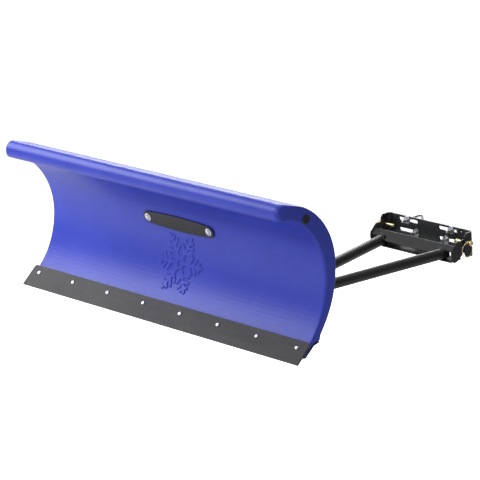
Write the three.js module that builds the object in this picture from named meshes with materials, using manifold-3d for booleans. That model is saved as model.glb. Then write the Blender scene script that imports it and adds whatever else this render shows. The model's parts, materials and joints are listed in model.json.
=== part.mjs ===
// A snow plow blade for an all-terrain vehicle: a hollow moulded blade with a bolted wear bar, carried on a
// swivelling, spring-tripped carrier by an A-shaped push frame that hangs on a clamped mount bracket.
//
// Millimetres. X runs across the blade, the blade faces -Y and the frame runs back along +Y, Z is up.
// The origin is the middle of the wear bar's cutting edge, on the ground.

import * as THREE from 'three';
import { mergeVertices } from 'three/addons/utils/BufferGeometryUtils.js';
import Module from 'manifold-3d';

const wasm = await Module();
wasm.setup();

// ---- Driving dimensions -------------------------------------------------------------------------------------

const GAP = 0.3;                 // clearance between pieces that touch
const PLATE = 5;                 // common steel plate thickness

// The blade, in its own frame, which stands upright before the lean.
const BLADE_LEAN = 8;            // degrees the whole blade leans forward in its working position
const BAR_SLOPE = 44.5;          // degrees the wear bar rises from the floor
const BAR = { length: 1320, height: 80, thick: 6, cornerRadius: 9, boltHeight: 54, boltPitch: 177, bolts: 8 };
const BAR_BOLT = { shank: 4, hole: 4.6, head: 7.5, dome: 4.2, length: 37, nutFlats: 13, nutHeight: 6.5 };
const SHELL = { width: 1305, edge: 6, wall: 6, seatStart: 29, seatLength: 51, flangeStart: 43, flange: 16.2 };
const SWEEP = [
  { radius: 70, turn: 7.7 },
  { radius: 279, turn: 37.8 },
  { radius: 225, turn: 68.3 },
];
const LIP = { under: 36, noseRadius: 22, noseFlat: 6, crownRadius: 27, slope: 12.2, top: 64 };
const BACK = { shoulder: 60, shoulderTurn: 8, upperRadius: 216, flat: 16, lowerRadius: 311, lowerTurn: 37 };
const LEDGE = { y: 104, z: 55, slope: 88 };
const RAIL = { toeY: 36, toeZ: 14.3, heelY: 102, heelZ: 52.8, inset: 4, standoff: 0.5 };
const PLUG = { y: 41, z: 438, head: 14.5, stem: 12, hole: 13, proud: 2.5, depth: 14 };
const BADGE = { height: 300, length: 332, tall: 53, endTall: 40, thick: 3, boltSpan: 289 };
const BADGE_BOLT = { shank: 5, hole: 5.7, washer: 14, head: 8, height: 7, length: 86, nutDepth: 62 };
const NUT = { flats: 18, height: 10, washer: 11, bore: 5.3 };
const UPRIGHT = { x: BADGE.boltSpan / 2, width: 52, web: 10, webX: 127, bottom: 82, top: 350, lug: 20 };
const TRIP = { y: 178, z: 72, radius: 6, length: 44, head: 10, headThick: 6 };
const SPRING_BAR = { y: 189, z: 300, radius: 6, boss: 14, overhang: 8 };

// The swivel and the nose of the push frame, level.
const KING = { y: 430, radius: 9, washer: 17, flats: 27, nut: 14 };
const CARRIER = { z: 61, thick: 8, discRadius: 120, frontY: 214, frontHalf: 112 };
const BEAM = { y: 214, depth: 36, z: CARRIER.z + CARRIER.thick + GAP, height: 40, half: 176, wall: 4 };
const CHEEK = { thick: 6, radius: UPRIGHT.lug - 2 };
const INDEX = { radius: 95, hole: 6.8, step: 15, count: 2 };
const SPRING_EYE = { x: 98, y: 330, height: 34, ring: 12, wire: 3.5, shank: 5, hole: 5.4, below: 8 };
const TRIP_SPRING = { coil: 16, wire: 2.6, turns: 9.25, neck: 26, eyeHook: 7.6, barHook: 10.6 };
const TONGUE = { half: 45, thick: 6, rearY: 556 };
const END_PLATE = { half: 72, bottom: 36, top: 106, thick: 6 };
const ANGLE_PIN = { radius: 6, bottom: 70.5, collar: 104, collarRadius: 9.8, handle: 168, handleHalf: 30 };
const PIN_SPRING = { coil: 8.7, wire: 1.1, turns: 5 };
const GUIDE = { half: 18, top: 127, thick: 4, bend: 4, width: 28, hole: 6.6 };
const LOOP = { y: 474, half: 28, leg: 34, radius: 6 };

// The push frame and the mount bracket, in the plane that climbs towards the vehicle.
const FRAME_RISE = 13.76;        // degrees the push frame climbs
const APEX = { y: 409.5, z: 32.3 };                             // where the tube lines would meet
const TUBE = { radius: 19, wall: 3, spread: 0.185, end: 780 };  // spread: sideways run per length
const CROSS = { half: 189.2, thick: 4, bend: 4 };
const FACE = { y: 766, z: 17, slope: 38, apron: 18, length: 24, apronHalf: 117 };
const WINDOW = { from: 159, top: 13 };                          // openings in the crossbar's rear flange
const FLOOR = { front: 760, rear: 812 };
const PIVOT = { y: 833, z: 33, hole: 5.5, boss: 15 };           // lift axis
const BRACKET = { half: 200, plateY: 860, top: 66, bottom: -20, depth: 39, bend: 8, chamfer: 11 };
const SPARE_HOLE = { x: 148, z: 54, radius: 3.5 };
const SLOT = { length: 90, width: 12, places: [-102, 87], rows: [52.5, 14.5] };
const HOOK = { radius: 5, bend: 15, front: 25, tip: 6, washer: 15 };
const HOOK_PLACES = [                                           // across, which row of slots, how far back
  { x: -107, row: 0, reach: 60 },
  { x: -66, row: 1, reach: 30 },
  { x: 103, row: 0, reach: 16 },
  { x: 76, row: 1, reach: 30 },
];
const LOCK = { radius: 5, head: 9, inner: 147, holeX: 212, hole: 3.6, headEnd: 11 };
const PIN_RING = { radius: 25, wire: 1.6, swing: -20 };         // swing: degrees forward of plumb

// ---- Plain helpers ------------------------------------------------------------------------------------------

const rad = THREE.MathUtils.degToRad;
const vec = (x, y) => new THREE.Vector2(x, y);

const SMALL_RADIUS = 40;         // an arc below this radius is cut into coarser facets
const SMALL_FACET = 18;          // degrees
const LARGE_FACET = 7;
const LONG = 1500;               // longer than anything a cutting tool goes through

// Follows a path of straight lines and arcs from a start point. A step is { line } or { radius, turn }, where a
// positive turn is to the left. Gives back the points on the way.
function trace(start, heading, steps) {
  const points = [start.clone()];
  let at = start.clone();
  let angle = rad(heading);
  for (const step of steps) {
    if (step.line !== undefined) {
      at = at.clone().add(vec(Math.cos(angle), Math.sin(angle)).multiplyScalar(step.line));
      points.push(at);
    } else {
      const side = Math.sign(step.turn);
      const centre = at.clone().add(vec(-Math.sin(angle), Math.cos(angle)).multiplyScalar(side * step.radius));
      const facet = step.radius < SMALL_RADIUS ? SMALL_FACET : LARGE_FACET;
      const pieces = Math.max(2, Math.ceil(Math.abs(step.turn) / facet));
      const from = at.clone().sub(centre);
      for (let i = 1; i <= pieces; i += 1) {
        const part = from.clone().rotateAround(vec(0, 0), rad(step.turn) * (i / pieces));
        points.push(centre.clone().add(part));
      }
      at = points[points.length - 1];
      angle += rad(step.turn);
    }
  }
  return points;
}

// The points of an open path moved sideways, to the right for a positive distance, with mitred corners.
function offset(path, distance) {
  return path.map((point, i) => {
    const before = path[Math.max(i - 1, 0)];
    const after = path[Math.min(i + 1, path.length - 1)];
    const into = (i > 0 ? point.clone().sub(before) : after.clone().sub(point)).normalize();
    const out = (i < path.length - 1 ? after.clone().sub(point) : into.clone()).normalize();
    const side = vec(into.y + out.y, -into.x - out.x).normalize();
    const square = vec(into.y, -into.x).dot(side);
    return point.clone().add(side.multiplyScalar(distance / square));
  });
}

// A bent sheet's cross-section: a path and the same path moved sideways by the sheet's thickness.
const sheet = (path, thick) => [...path, ...offset(path, thick).reverse()];

// An outline extruded from z = 0 to z = depth, with round edges if an edge size is given.
function extrude(outline, depth, edge = 0) {
  const shape = outline instanceof THREE.Shape ? outline : new THREE.Shape(outline);
  return new THREE.ExtrudeGeometry(shape, {
    depth: depth - 2 * edge,
    steps: 1,
    curveSegments: 10,
    bevelEnabled: edge > 0,
    bevelSize: edge,
    bevelOffset: -edge,
    bevelThickness: edge,
    bevelSegments: 3,
  }).translate(0, 0, edge);
}

// A side profile drawn in Y and Z, extruded along X from x0 to x1.
function profile(outline, x0, x1, edge = 0) {
  const turn = new THREE.Matrix4().makeBasis(
    new THREE.Vector3(0, 1, 0),
    new THREE.Vector3(0, 0, 1),
    new THREE.Vector3(1, 0, 0),
  );
  return extrude(outline, x1 - x0, edge).applyMatrix4(turn).translate(x0, 0, 0);
}

// A plan outline drawn in X and Y, extruded up from z0 to z1.
const slab = (outline, z0, z1) => extrude(outline, z1 - z0).translate(0, 0, z0);

const box = (x0, x1, y0, y1, z0, z1) => new THREE.BoxGeometry(x1 - x0, y1 - y0, z1 - z0)
  .translate((x0 + x1) / 2, (y0 + y1) / 2, (z0 + z1) / 2);

// A turned piece about the Z axis, from [radius, z] pairs that start and end on the axis.
function turned(pairs, sides = 16) {
  const points = pairs.map(([r, z]) => vec(r, z));
  return new THREE.LatheGeometry(points, sides).rotateX(Math.PI / 2);
}

// A round rod along Z from z0 to z1.
const rod = (radius, z0, z1, sides = 16) => turned([[0, z0], [radius, z0], [radius, z1], [0, z1]], sides);

// A round rod along X from x0 to x1 at a place in Y and Z.
function rodX(radius, x0, x1, y, z, sides = 16) {
  return rod(radius, x0, x1, sides).rotateY(Math.PI / 2).translate(0, y, z);
}

// A straight tool along Z, through everything, for a round hole.
const drill = (radius, sides = 12) => rod(radius, -LONG, LONG, sides);

// A hexagonal bar along Z, measured across its flats.
const hexagon = (flats, z0, z1) => rod(flats / Math.sqrt(3), z0, z1, 6);

// A round wire swept along a curve.
function wire(curve, radius, steps, sides = 8) {
  const section = new THREE.Shape(circle(0, 0, radius, sides));
  return new THREE.ExtrudeGeometry(section, { extrudePath: curve, steps, bevelEnabled: false });
}

// A round rod bent along a side path in Y and Z.
function bentRod(path, radius, steps) {
  const points = path.map((point) => new THREE.Vector3(0, point.x, point.y));
  return wire(new THREE.CatmullRomCurve3(points, false, 'centripetal'), radius, steps);
}

// A plan circle as a list of points.
function circle(x, y, radius, sides = 16, from = 0, to = 360) {
  const full = to - from === 360;
  const count = full ? sides : sides + 1;
  return Array.from({ length: count }, (unused, i) => {
    const angle = rad(from + (to - from) * (i / sides));
    return vec(x + radius * Math.cos(angle), y + radius * Math.sin(angle));
  });
}

// ---- Cutting and joining ------------------------------------------------------------------------------------

function solid(geometry) {
  const bare = geometry.clone();
  bare.deleteAttribute('normal');
  bare.deleteAttribute('uv');
  const merged = mergeVertices(bare, 1e-4);
  const mesh = new wasm.Mesh({
    numProp: 3,
    vertProperties: new Float32Array(merged.attributes.position.array),
    triVerts: new Uint32Array(merged.index.array),
  });
  mesh.merge();
  return new wasm.Manifold(mesh);
}

function surface(manifold) {
  const mesh = manifold.getMesh();
  const geometry = new THREE.BufferGeometry();
  geometry.setAttribute('position', new THREE.BufferAttribute(new Float32Array(mesh.vertProperties), 3));
  geometry.setIndex(new THREE.BufferAttribute(new Uint32Array(mesh.triVerts), 1));
  geometry.computeVertexNormals();
  return geometry;
}

const join = (...pieces) => surface(pieces.map(solid).reduce((whole, piece) => whole.add(piece)));

function cut(body, ...tools) {
  return surface(tools.map(solid).reduce((rest, tool) => rest.subtract(tool), solid(body)));
}

// ---- Finishes and placing -----------------------------------------------------------------------------------

const FINISH = {
  blade: { color: 0x3f49b4, roughness: 0.42, metalness: 0 },
  bar: { color: 0x303032, roughness: 0.7, metalness: 0 },
  black: { color: 0x1d1c1f, roughness: 0.55, metalness: 0.3 },
  badge: { color: 0x343036, roughness: 0.5, metalness: 0 },
  plug: { color: 0x18181a, roughness: 0.8, metalness: 0 },
  zinc: { color: 0xc9cdd2, roughness: 0.3, metalness: 1 },
  yellow: { color: 0xd8c27a, roughness: 0.35, metalness: 1 },
  spring: { color: 0x8d9196, roughness: 0.4, metalness: 1 },
};

const plow = new THREE.Group();

function place(parent, name, geometry, finish, position = [0, 0, 0], tilt = 0) {
  const mesh = new THREE.Mesh(geometry, new THREE.MeshStandardMaterial(FINISH[finish]));
  mesh.name = name;
  mesh.position.set(...position);
  mesh.rotation.x = rad(tilt);
  parent.add(mesh);
  return mesh;
}

function subgroup(y, z, tilt) {
  const group = new THREE.Group();
  group.position.set(0, y, z);
  group.rotation.x = rad(tilt);
  plow.add(group);
  return group;
}

const SIDES = [['left', -1], ['right', 1]];

// ---- Blade shell --------------------------------------------------------------------------------------------

// The blade's own frame stands on the cutting edge and leans forward with it.
const blade = subgroup(0, 0, BLADE_LEAN);

// Along the bar's slope: up the slope by s and back from its face by depth.
function onSlope(s, depth) {
  const angle = rad(BAR_SLOPE);
  return vec(s * Math.cos(angle) + depth * Math.sin(angle), s * Math.sin(angle) - depth * Math.cos(angle));
}

const SEAT_DEPTH = BAR.thick + GAP;

// The concave face, from the bottom of the seat behind the wear bar to the corner under the lip.
const frontFace = trace(onSlope(SHELL.seatStart, SEAT_DEPTH), BAR_SLOPE, [
  { line: SHELL.seatLength },
  ...SWEEP,
]);

// The rolled lip: flat underneath, a round nose, then the crown falling back.
const lip = trace(frontFace[frontFace.length - 1], 180, [
  { line: LIP.under },
  { radius: LIP.noseRadius, turn: -90 },
  { line: LIP.noseFlat },
  { radius: LIP.crownRadius, turn: -90 - LIP.slope },
  { line: LIP.top },
]);

// The rounded back, down to the ledge above the flange.
const backFace = trace(lip[lip.length - 1], -LIP.slope, [
  { radius: BACK.shoulder, turn: -BACK.shoulderTurn },
  { radius: BACK.upperRadius, turn: -90 + LIP.slope + BACK.shoulderTurn },
  { line: BACK.flat },
  { radius: BACK.lowerRadius, turn: -BACK.lowerTurn },
]);

// The flange that the wear bar and the rear rail clamp, with a ledge where the hollow blade begins.
const FLANGE_BACK = SEAT_DEPTH + SHELL.flange;
const ledge = [vec(LEDGE.y, LEDGE.z), onSlope(LEDGE.slope, FLANGE_BACK)];
const flangeFoot = onSlope(SHELL.flangeStart, FLANGE_BACK);

function bladeOutline() {
  return [...frontFace, ...lip.slice(1), ...backFace.slice(1), ...ledge, flangeFoot];
}

// The hollow inside: the faces moved in by the wall, closed above the solid flange.
function bladeCavity() {
  const inside = (path) => offset(path, SHELL.wall);
  const front = inside(frontFace.slice(3));
  const top = inside(lip).slice(1);
  const back = inside(backFace).slice(1, -2);
  return [...front.slice(0, -1), ...top, ...back];
}

// The badge plate and its bolts sit square to the concave face at the badge's height.
const deepest = frontFace.reduce((best, point) => (point.x > best.x ? point : best));
const upperSweep = SWEEP[SWEEP.length - 1].radius;
const badgeTurn = Math.asin((BADGE.height - deepest.y) / upperSweep);
const badgeTilt = 90 + THREE.MathUtils.radToDeg(badgeTurn);
const badgeY = deepest.x - upperSweep + upperSweep * Math.cos(badgeTurn);

const middleBolt = (BAR.bolts - 1) / 2;
const barBoltPlaces = Array.from({ length: BAR.bolts }, (unused, i) => (i - middleBolt) * BAR.boltPitch);

// A tool for a hole through the blade, square to the wear bar.
function slopeHole(x) {
  return rod(BAR_BOLT.hole, -60, 10, 12).translate(x, BAR.boltHeight, 0).rotateX(rad(BAR_SLOPE));
}

// A tool for a hole through the blade, square to the concave face at the badge bolts.
function badgeHole(x) {
  return rod(BADGE_BOLT.hole, -90, 10, 12).rotateX(rad(badgeTilt)).translate(x, badgeY, BADGE.height);
}

function bladeShell() {
  const half = SHELL.width / 2;
  const inner = half - SHELL.wall;
  return cut(
    profile(bladeOutline(), -half, half, SHELL.edge),
    profile(bladeCavity(), -inner, inner),
    rodX(PLUG.hole, -LONG, LONG, PLUG.y, PLUG.z, 24),
    ...barBoltPlaces.map(slopeHole),
    ...SIDES.map(([, side]) => badgeHole(side * UPRIGHT.x)),
  );
}

place(blade, 'blade_shell', bladeShell(), 'blade');

function endPlug() {
  const { head, stem, proud, depth } = PLUG;
  return turned([[0, -depth], [stem, -depth], [stem, GAP], [head, GAP], [head - 1, proud], [0, proud]], 24);
}

for (const [name, side] of SIDES) {
  const plug = place(blade, `end_plug_${name}`, endPlug(), 'plug', [side * SHELL.width / 2, PLUG.y, PLUG.z]);
  plug.rotation.y = side * Math.PI / 2;
}

// ---- Wear bar, rear rail and their bolts --------------------------------------------------------------------

function wearBar() {
  const half = BAR.length / 2;
  const corner = BAR.cornerRadius;
  const outline = new THREE.Shape();
  outline.moveTo(-half, 0);
  outline.lineTo(half, 0);
  outline.lineTo(half, BAR.height - corner);
  outline.absarc(half - corner, BAR.height - corner, corner, 0, Math.PI / 2);
  outline.lineTo(corner - half, BAR.height);
  outline.absarc(corner - half, BAR.height - corner, corner, Math.PI / 2, Math.PI);
  const holes = barBoltPlaces.map((x) => drill(BAR_BOLT.hole).translate(x, BAR.boltHeight, 0));
  return cut(slab(outline, -BAR.thick, 0), ...holes);
}

place(blade, 'wear_bar', wearBar(), 'bar', [0, 0, 0], BAR_SLOPE);

// A J-shaped rail that wraps the flange from behind, with a nut welded behind each bolt.
function rearRail() {
  const half = SHELL.width / 2 - RAIL.inset;
  const face = FLANGE_BACK + RAIL.standoff;
  const path = [
    vec(RAIL.toeY, RAIL.toeZ),
    onSlope(SHELL.flangeStart - 0.7, face),
    onSlope(LEDGE.slope, face),
    vec(RAIL.heelY, RAIL.heelZ),
  ];
  const rail = profile(sheet(path, PLATE), -half, half);
  const nutFace = -(face + PLATE);
  const nuts = barBoltPlaces.map((x) => hexagon(BAR_BOLT.nutFlats, nutFace - BAR_BOLT.nutHeight, nutFace + 1)
    .translate(x, BAR.boltHeight, 0).rotateX(rad(BAR_SLOPE)));
  return cut(join(rail, ...nuts), ...barBoltPlaces.map(slopeHole));
}

place(blade, 'rear_rail', rearRail(), 'black');

// A bolt with a low domed head that sits on the bar's face at z = 0.
function barBolt() {
  const { shank, head, dome, length } = BAR_BOLT;
  return turned([[0, -length], [shank, -length], [shank, GAP], [head, GAP], [head - 0.3, 0.4 * dome],
    [0.7 * head, 0.8 * dome], [0, dome]], 12);
}

barBoltPlaces.forEach((x, i) => {
  const slope = onSlope(BAR.boltHeight, 0);
  place(blade, `wear_bolt_${i + 1}`, barBolt(), 'zinc', [x, slope.x, slope.y], BAR_SLOPE);
});

// ---- Front badge plate and its bolts ------------------------------------------------------------------------

// A lens-shaped plate: deeper in the middle than at its round ends.
function badgeOutline() {
  const reach = BADGE.length / 2 - BADGE.endTall / 2;
  const outline = new THREE.Shape();
  outline.moveTo(-reach, -BADGE.endTall / 2);
  outline.quadraticCurveTo(0, BADGE.endTall / 2 - BADGE.tall, reach, -BADGE.endTall / 2);
  outline.absarc(reach, 0, BADGE.endTall / 2, -Math.PI / 2, Math.PI / 2);
  outline.quadraticCurveTo(0, BADGE.tall - BADGE.endTall / 2, -reach, BADGE.endTall / 2);
  outline.absarc(-reach, 0, BADGE.endTall / 2, Math.PI / 2, 1.5 * Math.PI);
  return outline;
}

// The flat plate touches the concave face along its upper and lower edges.
const BADGE_STANDOFF = BADGE.tall ** 2 / (8 * upperSweep) + 3 * GAP;
const badge = new THREE.Group();
badge.position.set(0, badgeY, BADGE.height);
badge.rotation.x = rad(badgeTilt);
blade.add(badge);

function badgePlate() {
  const plate = slab(badgeOutline(), BADGE_STANDOFF, BADGE_STANDOFF + BADGE.thick);
  return cut(plate, ...SIDES.map(([, side]) => drill(BADGE_BOLT.hole).translate(side * UPRIGHT.x, 0, 0)));
}

place(badge, 'badge_plate', badgePlate(), 'badge');

// A button-headed bolt with a wide washer, on the plate.
function badgeBolt() {
  const { shank, washer, head, height, length } = BADGE_BOLT;
  const face = BADGE_STANDOFF + BADGE.thick + GAP;
  const rim = face + 2;
  return turned([[0, -length], [shank, -length], [shank, face], [washer, face], [washer - 0.6, rim],
    [head + 1, rim + 0.6], [head, face + height - 1.4], [0, face + height]], 16);
}

for (const [name, side] of SIDES) {
  place(badge, `badge_bolt_${name}`, badgeBolt(), 'zinc', [side * UPRIGHT.x, 0, 0]);
}

// ---- Rear uprights, their nuts and the spring bar -----------------------------------------------------------

// The stretch of the back that the uprights follow, from top to bottom.
const backRun = backFace.filter((point) => point.y > UPRIGHT.bottom && point.y < UPRIGHT.top);

// A strap along the back with a deep web behind it, which holds the spring bar and hinges on the trip pin.
function upright(side) {
  const half = UPRIGHT.width / 2;
  const seat = offset(backRun, -2 * GAP);
  const skin = offset(backRun, -2 * GAP - PLATE / 2);
  const web = [
    ...skin,
    ...circle(TRIP.y, TRIP.z, UPRIGHT.lug, 10, 225, 360),
    vec(SPRING_BAR.y + SPRING_BAR.boss, SPRING_BAR.z),
    ...circle(SPRING_BAR.y, SPRING_BAR.z, SPRING_BAR.boss, 5, 30, 100),
  ];
  const webFrom = side * (UPRIGHT.webX - UPRIGHT.x) - UPRIGHT.web / 2;
  const body = join(
    profile(sheet(seat, -PLATE), -half, half),
    profile(web, webFrom, webFrom + UPRIGHT.web),
  );
  return cut(
    body,
    rodX(TRIP.radius + 0.5, -half, half, TRIP.y, TRIP.z, 20),
    rodX(SPRING_BAR.radius + 0.5, -half, half, SPRING_BAR.y, SPRING_BAR.z, 16),
    badgeHole(0),
  );
}

// A hexagonal nut with a washer face, whose seat is at z = 0.
function flangeNut(washer) {
  return cut(join(hexagon(NUT.flats, -NUT.height, 0), rod(washer, -2, 0)), drill(NUT.bore));
}

for (const [name, side] of SIDES) {
  place(blade, `upright_${name}`, upright(side), 'black', [side * UPRIGHT.x, 0, 0]);
  place(badge, `badge_nut_${name}`, flangeNut(NUT.washer), 'zinc', [side * UPRIGHT.x, 0, -BADGE_BOLT.nutDepth]);
}

const barHalf = UPRIGHT.webX + UPRIGHT.web / 2 + SPRING_BAR.overhang;
const springBarRod = rodX(SPRING_BAR.radius, -barHalf, barHalf, SPRING_BAR.y, SPRING_BAR.z);
place(blade, 'spring_bar', springBarRod, 'zinc');

// ---- Swivel carrier: index plate, beam, trip pins, spring eyes and springs ----------------------------------

// A place in the blade's own frame, in the row's frame.
function leaned(y, z) {
  const turn = rad(BLADE_LEAN);
  return vec(y * Math.cos(turn) - z * Math.sin(turn), y * Math.sin(turn) + z * Math.cos(turn));
}

const tripPin = leaned(TRIP.y, TRIP.z);
const springBar = leaned(SPRING_BAR.y, SPRING_BAR.z);
const INDEX_TOP = CARRIER.z + CARRIER.thick;

// A level half-moon with a ring of lock holes behind the king bolt.
function indexPlate() {
  const outline = [
    vec(-CARRIER.frontHalf, CARRIER.frontY),
    vec(CARRIER.frontHalf, CARRIER.frontY),
    ...circle(0, KING.y, CARRIER.discRadius, 22, 0, 180),
  ];
  const holes = [drill(KING.radius + 0.5, 24).translate(0, KING.y, 0)];
  for (let i = -INDEX.count; i <= INDEX.count; i += 1) {
    const angle = rad(i * INDEX.step);
    const x = INDEX.radius * Math.sin(angle);
    holes.push(drill(INDEX.hole, 14).translate(x, KING.y + INDEX.radius * Math.cos(angle), 0));
  }
  for (const [, side] of SIDES) {
    holes.push(drill(SPRING_EYE.hole).translate(side * SPRING_EYE.x, SPRING_EYE.y, 0));
  }
  return cut(slab(outline, CARRIER.z, INDEX_TOP), ...holes);
}

// A square tube across the carrier with two forks that hold the uprights' lugs.
function carrierBeam() {
  const rear = BEAM.y + BEAM.depth;
  const top = BEAM.z + BEAM.height;
  const tube = cut(
    box(-BEAM.half, BEAM.half, BEAM.y, rear, BEAM.z, top),
    box(-LONG, LONG, BEAM.y + BEAM.wall, rear - BEAM.wall, BEAM.z + BEAM.wall, top - BEAM.wall),
  );
  const cheek = [
    vec(BEAM.y + 1, BEAM.z),
    vec(BEAM.y + 1, top),
    ...circle(tripPin.x, tripPin.y, CHEEK.radius, 12, 75, 285),
  ];
  const inner = UPRIGHT.web / 2 + 2 * GAP;
  const cheeks = SIDES.flatMap(([, side]) => SIDES.map(([, face]) => {
    const x = side * UPRIGHT.webX + face * (inner + CHEEK.thick / 2);
    return profile(cheek, x - CHEEK.thick / 2, x + CHEEK.thick / 2);
  }));
  return cut(join(tube, ...cheeks), rodX(TRIP.radius + 0.5, -LONG, LONG, tripPin.x, tripPin.y, 20));
}

const carrier = subgroup(0, 0, 0);
place(carrier, 'index_plate', indexPlate(), 'black');
place(carrier, 'carrier_beam', carrierBeam(), 'black');

// A headed clevis pin along X, whose head rests on the fork's outer cheek.
function clevisPin() {
  const { radius, length, head, headThick } = TRIP;
  const end = -length / 2;
  const seat = UPRIGHT.web / 2 + 2 * GAP + CHEEK.thick + 3 * GAP;
  const top = seat + headThick;
  return turned([[0, end], [radius - 1, end], [radius, end + 1], [radius, seat], [head, seat],
    [head, top - 1.5], [head - 2, top], [0, top]], 18).rotateY(Math.PI / 2);
}

for (const [name, side] of SIDES) {
  const at = [side * UPRIGHT.webX, tripPin.x, tripPin.y];
  const pin = place(carrier, `trip_pin_${name}`, clevisPin(), 'zinc', at);
  pin.rotation.z = side < 0 ? Math.PI : 0;
}

// An eye on a threaded shank that stands on the index plate, from the plate's top at z = 0.
function springEye() {
  const { ring, wire: thick, shank, height, below } = SPRING_EYE;
  const eye = new THREE.TorusGeometry(ring, thick, 8, 16).rotateY(Math.PI / 2).translate(0, 0, height);
  return join(eye, rod(shank, -CARRIER.thick - below, height - ring + 1, 12), hexagon(15.6, GAP, 6));
}

const eyeCentre = vec(SPRING_EYE.y, INDEX_TOP + SPRING_EYE.height);
const springLine = springBar.clone().sub(eyeCentre);
const springWay = springLine.clone().normalize();
const springFoot = eyeCentre.clone().add(springWay.clone().multiplyScalar(SPRING_EYE.ring));

// An open coil along Z, hooked round the eye's wire at z = 0 and round the spring bar at z = length.
function tripSpring(length) {
  const { coil, turns, neck, eyeHook, barHook } = TRIP_SPRING;
  const points = [];
  for (let angle = rad(-150); angle <= rad(90) + 1e-6; angle += rad(30)) {
    points.push(new THREE.Vector3(eyeHook * Math.sin(angle), 0, -eyeHook * Math.cos(angle)));
  }
  const perTurn = 8;
  for (let i = 0; i <= turns * perTurn; i += 1) {
    const angle = 2 * Math.PI * (i / perTurn);
    const z = neck + (length - 2 * neck) * (i / (turns * perTurn));
    points.push(new THREE.Vector3(coil * Math.cos(angle), coil * Math.sin(angle), z));
  }
  for (let angle = rad(90); angle >= rad(-150) - 1e-6; angle -= rad(30)) {
    points.push(new THREE.Vector3(0, barHook * Math.sin(angle), length + barHook * Math.cos(angle)));
  }
  return wire(new THREE.CatmullRomCurve3(points, false, 'centripetal'), TRIP_SPRING.wire, 110, 5);
}

for (const [name, side] of SIDES) {
  const x = side * SPRING_EYE.x;
  const tilt = THREE.MathUtils.radToDeg(Math.atan2(-springWay.x, springWay.y));
  const length = springLine.length() - SPRING_EYE.ring;
  place(carrier, `spring_eye_${name}`, springEye(), 'zinc', [x, SPRING_EYE.y, INDEX_TOP]);
  place(carrier, `trip_spring_${name}`, tripSpring(length), 'spring', [x, springFoot.x, springFoot.y], tilt);
}

// ---- Push frame nose: tongues, end plate, king bolt, lock pin and winch loop --------------------------------

const nose = subgroup(0, 0, 0);
const TONGUE_TOP = INDEX_TOP + GAP + TONGUE.thick;
const TONGUE_BOTTOM = CARRIER.z - GAP - TONGUE.thick;
const lockY = KING.y + INDEX.radius;

// A level plate with a round nose about the king bolt.
function tongue(bottom) {
  const outline = [
    ...circle(0, KING.y, TONGUE.half, 14, 180, 360),
    vec(TONGUE.half, TONGUE.rearY - GAP),
    vec(-TONGUE.half, TONGUE.rearY - GAP),
  ];
  return cut(
    slab(outline, bottom, bottom + TONGUE.thick),
    drill(KING.radius + 0.5, 24).translate(0, KING.y, 0),
    drill(INDEX.hole, 16).translate(0, lockY, 0),
  );
}

place(nose, 'tongue_top', tongue(TONGUE_TOP - TONGUE.thick), 'black');
place(nose, 'tongue_bottom', tongue(TONGUE_BOTTOM), 'black');

const endPlateRear = TONGUE.rearY + END_PLATE.thick;

function endPlate() {
  const { half, bottom, top } = END_PLATE;
  return box(-half, half, TONGUE.rearY, endPlateRear, bottom, top);
}

place(nose, 'end_plate', endPlate(), 'black');

// The bolt the carrier swings about, with a washer under its head, and the nut below.
function kingBolt() {
  const seat = TONGUE_TOP + GAP;
  const shank = rod(KING.radius, TONGUE_BOTTOM - KING.nut - 8, seat + 2, 20);
  return join(shank, rod(KING.washer, seat, seat + 3, 24), hexagon(KING.flats, seat + 2, seat + 14));
}

function kingNut() {
  const top = TONGUE_BOTTOM - GAP;
  return cut(hexagon(KING.flats, top - KING.nut, top), drill(KING.radius + 0.4, 20));
}

place(nose, 'king_bolt', kingBolt(), 'zinc', [0, KING.y, 0]);
place(nose, 'king_nut', kingNut(), 'zinc', [0, KING.y, 0]);

// A strap bent into a bridge over the lock pin, to guide it and to hold its spring down.
function pinGuide() {
  const { half, top, thick, bend, width, hole } = GUIDE;
  const foot = TONGUE_TOP + GAP;
  const leg = top - foot - thick - bend;
  const path = trace(vec(lockY - half, foot), 90, [
    { line: leg },
    { radius: bend, turn: -90 },
    { line: 2 * (half - bend) },
    { radius: bend, turn: -90 },
    { line: leg },
  ]);
  const strap = profile(sheet(path, -thick), -width / 2, width / 2);
  return cut(strap, drill(hole, 16).translate(0, lockY, 0));
}

// The lock pin: a plunger with a collar for its spring and a cross handle on top. It is drawn in its parked
// position, lifted clear of the index plate.
const COLLAR_TOP = ANGLE_PIN.collar + 4;

function anglePin() {
  const { radius, bottom, collar, collarRadius, handle, handleHalf } = ANGLE_PIN;
  const top = handle + 4;
  const pin = turned([[0, bottom], [radius - 1.5, bottom], [radius, bottom + 3], [radius, collar],
    [collarRadius, collar], [collarRadius, COLLAR_TOP], [radius, COLLAR_TOP], [radius, top], [0, top]], 16);
  return join(pin, rodX(radius - 1, -handleHalf, handleHalf, 0, handle, 12));
}

// The coil between the plunger's collar and the guide's top, squeezed while the pin is parked.
function pinSpring() {
  const { coil, wire: thick, turns } = PIN_SPRING;
  const from = COLLAR_TOP + thick + GAP;
  const to = GUIDE.top - GUIDE.thick - thick - GAP;
  const count = 8 * turns;
  const points = Array.from({ length: count + 1 }, (unused, i) => {
    const angle = 2 * Math.PI * (i / 8);
    return new THREE.Vector3(coil * Math.cos(angle), coil * Math.sin(angle), from + (to - from) * (i / count));
  });
  return wire(new THREE.CatmullRomCurve3(points, false, 'centripetal'), thick, 50, 5);
}

place(nose, 'pin_guide', pinGuide(), 'black');
place(nose, 'angle_pin', anglePin(), 'zinc', [0, lockY, 0]);
place(nose, 'angle_pin_spring', pinSpring(), 'spring', [0, lockY, 0]);

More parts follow.
